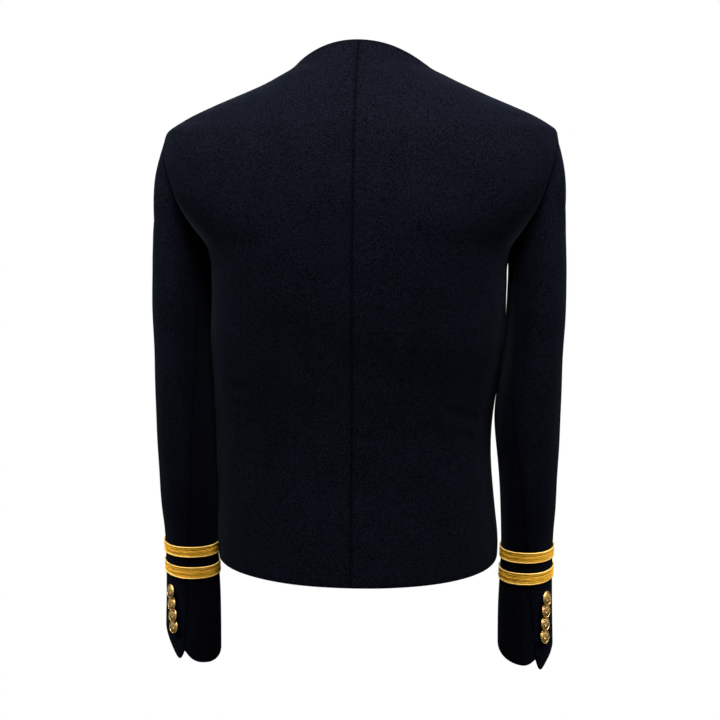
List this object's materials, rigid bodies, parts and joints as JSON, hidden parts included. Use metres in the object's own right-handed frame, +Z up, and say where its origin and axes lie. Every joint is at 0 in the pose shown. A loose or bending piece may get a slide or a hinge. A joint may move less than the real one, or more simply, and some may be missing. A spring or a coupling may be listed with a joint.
{
  "type": "collarless jacket",
  "caption": "Cropped collarless jacket of black felted wool in its worn shape, with two-piece set-in sleeves, gold braid rings and gilt buttons on the cuffs.",
  "frame": {"origin": "middle of the neck opening, level with the two neck points, where the wearer's neck and shoulders carry the jacket", "axes": "+Z up along the wearer's neck, the wearer faces -Y, the wearer's left arm is at +X"},
  "size_m": [0.4468, 0.2474, 0.675],
  "materials": {
    "felt": "matt felted wool",
    "braid": "woven gold metallic braid",
    "gilt": "polished gilt"
  },
  "bodies": {
    "root": {"back_left": "felt", "back_right": "felt", "front_left": "felt", "front_right": "felt", "sleeve_left_top": "felt", "sleeve_left_under": "felt", "sleeve_right_top": "felt", "sleeve_right_under": "felt", "braid_left_1": "braid", "braid_left_2": "braid", "braid_right_1": "braid", "braid_right_2": "braid", "button_left_1": "gilt", "button_left_2": "gilt", "button_left_3": "gilt", "button_left_4": "gilt", "button_right_1": "gilt", "button_right_2": "gilt", "button_right_3": "gilt", "button_right_4": "gilt"}
  },
  "joints": []
}
